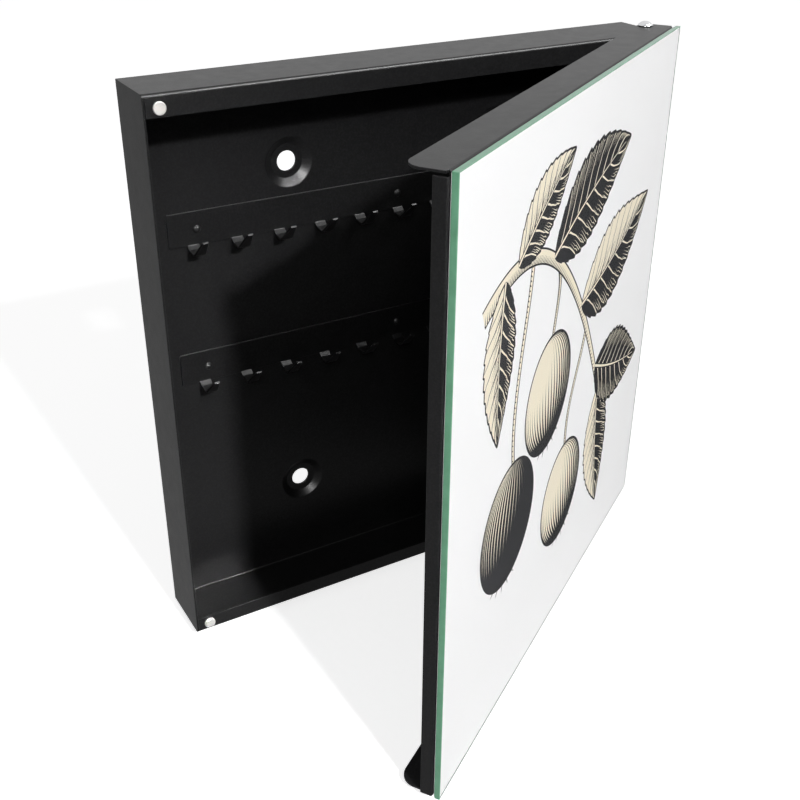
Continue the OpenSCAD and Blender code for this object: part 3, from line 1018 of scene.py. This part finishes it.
@dataclass
class SteelCase:
    """The folded case, its hook rails, rivets and catch magnets."""

    coat: PowderCoat = PowderCoat()
    rail_coat: PowderCoat = PowderCoat("powder_coat_smooth_black", roughness=0.355)
    lacquer: BlackLacquer = BlackLacquer()
    nickel: PlatedMetal = PlatedMetal("nickel_plate_barrel_dull", "#93928f", roughness=0.52)

    def make(self) -> Material:
        """Dresses the case's nodes.

        Returns:
            The powder coat, which the lid's tray shares.
        """
        coat = self.coat.material()
        dress(("case",), coat)
        dress(("upper_key_rail", "lower_key_rail"), self.rail_coat.material())
        dress(("upper_rail_rivets", "lower_rail_rivets"), self.lacquer.material())
        dress(("top_catch_magnet", "bottom_catch_magnet"), self.nickel.material())
        return coat


@dataclass
class HingeHardware:
    """The two pivot pins and the washers under and over the lid's wings."""

    zinc: PlatedMetal = PlatedMetal("zinc_plate_bright", "#d2d3d5", roughness=0.24)
    nylon: SoftPlastic = SoftPlastic("nylon_black_turned", "#202021", roughness=0.5,
                                     cell_mm=0.5, cell_depth_mm=0.02)

    def make(self) -> None:
        """Dresses the pins and washers."""
        dress(("top_hinge_pin", "bottom_hinge_pin"), self.zinc.material())
        dress(("top_spacer_washer", "bottom_spacer_washer",
               "top_head_washer", "bottom_head_washer"), self.nylon.material())


@dataclass
class GlassLid:
    """The lid: tray, foam tape, printed film and pane."""

    lid: LidPlane
    pane_face: FloatGlass = FloatGlass("float_glass_coated_face", ior=1.52, mirror=0.012)
    pane_back: FloatGlass = FloatGlass("float_glass_bonded_back", ior=1.0, mirror=0.0)
    pane_edge: GroundGlassEdge = GroundGlassEdge()
    paper: PrintedFilm = PrintedFilm("polyester_film_white", "#fafafa", "#f6f6f7")
    black: PrintedFilm = PrintedFilm("pigment_ink_black", "#111114", "#19191d")
    cream: PrintedFilm = PrintedFilm("pigment_ink_cream", "#f4ecd9", "#efe5cd")
    foam: SoftPlastic = SoftPlastic("foam_tape_black", "#2a2a2b", roughness=0.8,
                                    cell_mm=0.6, cell_depth_mm=0.1)

    def make(self, coat: Material) -> None:
        """Dresses the tray and tape, and makes the film and the pane.

        Args:
            coat: The powder coat of the case, which the tray shares.
        """
        dress(("lid_tray",), coat)
        dress(("tape_top", "tape_bottom", "tape_left", "tape_right"), self.foam.material())
        film, ink = PrintedPicture(self.lid).make(
            self.paper.material(), [self.black.material(), self.cream.material()])
        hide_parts("picture_film")
        for piece in (film, ink):
            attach(piece, "lid")
            LOG.info("made %s", piece.name)
        pane = GlassPane(self.lid).make(
            self.pane_face.material(), self.pane_edge.material(), self.pane_back.material())
        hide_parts("glass_front")
        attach(pane, "lid")
        LOG.info("made %s", pane.name)


@dataclass(frozen=True)
class Softbox:
    """A soft rectangular lamp, pointed at the object or beside its middle, in metres."""

    name: str
    direction: tuple[float, float, float]
    distance: float
    width: float
    height: float
    watts: float
    gloss_only: bool
    aim: tuple[float, float, float] = (0.0, 0.0, 0.0)
    spread: float = 180.0  # degrees; less than 180 where a grid narrows the light

    def make(self, target: Vector) -> None:
        """Places the lamp.

        Args:
            target: The object's middle, from which direction, distance and aim are measured.
        """
        data = bpy.data.lights.new(self.name, "AREA")
        data.shape, data.size, data.size_y = "RECTANGLE", self.width, self.height
        data.energy = self.watts
        data.spread = math.radians(self.spread)
        lamp = bpy.data.objects.new(self.name, data)
        away = Vector(self.direction).normalized()
        lamp.location = target + away * self.distance
        lamp.rotation_mode = "QUATERNION"
        lamp.rotation_quaternion = (away * self.distance - Vector(self.aim)).to_track_quat("Z", "Y")
        lamp.visible_camera = False
        lamp.visible_diffuse = not self.gloss_only
        bpy.context.scene.collection.objects.link(lamp)


@dataclass
class Studio:
    """A white studio: pale floor, softboxes, an even world and the camera.

    Its lengths are in metres and its angles in degrees, where no other unit is named.
    """

    KEY_WAY = (-0.03, -0.812, 0.583)  # from the object's middle to the key lamp

    camera_mm: tuple[float, float, float] = (-292.3, -508.27, 260.33)
    azimuth: float = 30.36  # from +Y towards +X
    dip: float = 28.75  # below the horizon
    roll: float = 0.35
    lens_mm: float = 50.0
    sensor_mm: float = 36.0
    clip: tuple[float, float] = (0.01, 50.0)
    world_level: float = 0.2
    front_gloss: float = 0.1  # what gloss sees of the studio behind the camera, where white is 1
    world_gloss: float = 1.0  # what it sees of the back of the world
    world_gloss_span: tuple[float, float] = (-0.5, 0.15)  # along Y in a sphere of radius 1
    floor_size: float = 12.0
    floor_gap_mm: float = 0.5  # under the object
    floor_paint: str = "#e8e8e8"
    floor_glow: float = 0.8  # light of the floor's own, so that its shadow stays soft
    floor_gloss: float = 0.4  # what gloss sees of the floor at the back
    floor_gloss_span: tuple[float, float] = (-0.5, -0.15)  # along Y
    floor_dim: str = "#4a4a4a"  # the floor's colour in gloss, where it doesn't glow
    softboxes: tuple[Softbox, ...] = (
        Softbox("key", KEY_WAY, distance=1.95, width=0.1, height=0.1, watts=29.0,
                gloss_only=False),
        Softbox("key_grid", KEY_WAY, distance=1.95, width=0.1, height=0.1, watts=4.6,
                gloss_only=True, aim=(-0.2, 0.0, -0.08), spread=15.0),
        Softbox("ceiling_strip", (0.44, -0.47, 0.77), distance=1.5, width=0.9, height=0.5,
                watts=72.0, gloss_only=True),
        Softbox("side_strip", (-0.46, -0.69, 0.56), distance=1.5, width=0.3, height=0.3,
                watts=60.0, gloss_only=True),
    )

    def camera(self) -> None:
        """Sets the camera at the photograph's view."""
        az, el, roll = (math.radians(a) for a in (self.azimuth, self.dip, self.roll))
        ahead = Vector((math.sin(az) * math.cos(el), math.cos(az) * math.cos(el), -math.sin(el)))
        level = Vector((math.cos(az), -math.sin(az), 0))
        upright = level.cross(ahead)
        right = level * math.cos(roll) + upright * math.sin(roll)
        up = upright * math.cos(roll) - level * math.sin(roll)
        data = bpy.data.cameras.new("view")
        data.lens, data.sensor_width = self.lens_mm, self.sensor_mm
        data.clip_start, data.clip_end = self.clip
        cam = bpy.data.objects.new("view", data)
        cam.matrix_world = Matrix.Translation(Vector(self.camera_mm) * MM) @ Matrix(
            (right, up, -ahead)).transposed().to_4x4()
        bpy.context.scene.collection.objects.link(cam)
        bpy.context.scene.camera = cam

    def level_seen(self, tree: Tree, along_y: Any, span: tuple[float, float], back: float,
                   other: float) -> Any:
        """Adds how bright the studio is for each kind of ray.

        Args:
            tree: The node tree of the world or the floor.
            along_y: A socket that runs from the object's front to its back.
            span: Its values where gloss last sees the dim front, and first sees the back.
            back: The level of the back in gloss.
            other: The level for all other rays, such as those of soft light.

        Returns:
            A socket: 1 to the eye and through glass, front_gloss to the back's level in gloss.
        """
        path = add_node(tree, "ShaderNodeLightPath")
        gloss = add_node(tree, "ShaderNodeMapRange",
                         {"From Min": span[0], "From Max": span[1],
                          "To Min": self.front_gloss, "To Max": back},
                         {"Value": along_y})
        dull = add_node(tree, "ShaderNodeMix", {2: other},
                        {0: path.outputs["Is Glossy Ray"], 3: gloss.outputs["Result"]})
        eye = add_node(tree, "ShaderNodeMath", {"operation": "MAXIMUM"},
                       {0: path.outputs["Is Camera Ray"], 1: path.outputs["Is Transmission Ray"]})
        mix = add_node(tree, "ShaderNodeMix", {3: 1.0}, {0: eye.outputs[0], 2: dull.outputs[0]})
        return mix.outputs[0]

    def world(self) -> None:
        """Makes the world: white to the eye, and an even soft light on the object."""
        world = bpy.data.worlds.new("studio")
        bpy.context.scene.world = world
        world.use_nodes = True
        tree = world.node_tree
        tree.nodes.clear()
        place = add_node(tree, "ShaderNodeTexCoord")
        parts = add_node(tree, "ShaderNodeSeparateXYZ", None, {0: place.outputs["Generated"]})
        level = self.level_seen(tree, parts.outputs["Y"], self.world_gloss_span,
                                self.world_gloss, self.world_level)
        sky = add_node(tree, "ShaderNodeBackground", {"Color": WHITE}, {"Strength": level})
        out = add_node(tree, "ShaderNodeOutputWorld")
        tree.links.new(sky.outputs[0], out.inputs["Surface"])

    def floor(self, height: float) -> None:
        """Makes the pale floor, which looks white and still takes a soft shadow.

        Args:
            height: Height of the floor in metres.
        """
        material, tree, out = begin_material("painted_floor_pale")
        paint = add_node(tree, "ShaderNodeBsdfDiffuse", {"Color": linear(self.floor_paint)})
        glow = add_node(tree, "ShaderNodeEmission", {"Strength": self.floor_glow})
        both = add_node(tree, "ShaderNodeAddShader", None,
                        {0: paint.outputs[0], 1: glow.outputs[0]})
        place = add_node(tree, "ShaderNodeNewGeometry")
        parts = add_node(tree, "ShaderNodeSeparateXYZ", None, {0: place.outputs["Position"]})
        level = self.level_seen(tree, parts.outputs["Y"], self.floor_gloss_span,
                                self.floor_gloss, 0.0)
        path = add_node(tree, "ShaderNodeLightPath")
        dim = add_node(tree, "ShaderNodeBsdfDiffuse", {"Color": linear(self.floor_dim)})
        dull = add_node(tree, "ShaderNodeMixShader", None,
                        {0: path.outputs["Is Glossy Ray"], 1: paint.outputs[0], 2: dim.outputs[0]})
        mix = add_node(tree, "ShaderNodeMixShader", None,
                       {0: level, 1: dull.outputs[0], 2: both.outputs[0]})
        tree.links.new(mix.outputs[0], out.inputs["Surface"])
        build = bmesh.new()
        bmesh.ops.create_grid(build, x_segments=1, y_segments=1, size=self.floor_size / 2)
        bmesh.ops.translate(build, verts=build.verts, vec=(0, 0, height))
        floor = mesh_object("studio_floor", build, [material])
        floor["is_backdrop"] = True

    def make(self, low: Vector, high: Vector) -> None:
        """Builds the studio round the object.

        Args:
            low: The lowest corner of the object's box.
            high: Its highest corner.
        """
        bpy.context.scene.view_settings.view_transform = "Standard"
        self.camera()
        self.world()
        self.floor(low.z - self.floor_gap_mm * MM)
        for softbox in self.softboxes:
            softbox.make((low + high) / 2)


def main() -> None:
    """Dresses the key box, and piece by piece."""
    logging.basicConfig(level=logging.INFO, format="%(name)s: %(message)s")
    cad_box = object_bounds()
    lid = LidPlane.from_joint(frame["joints"][0])
    coat = SteelCase().make()
    HingeHardware().make()
    GlassLid(lid).make(coat)
    Studio().make(*cad_box)


if __name__ == "__main__":
    main()
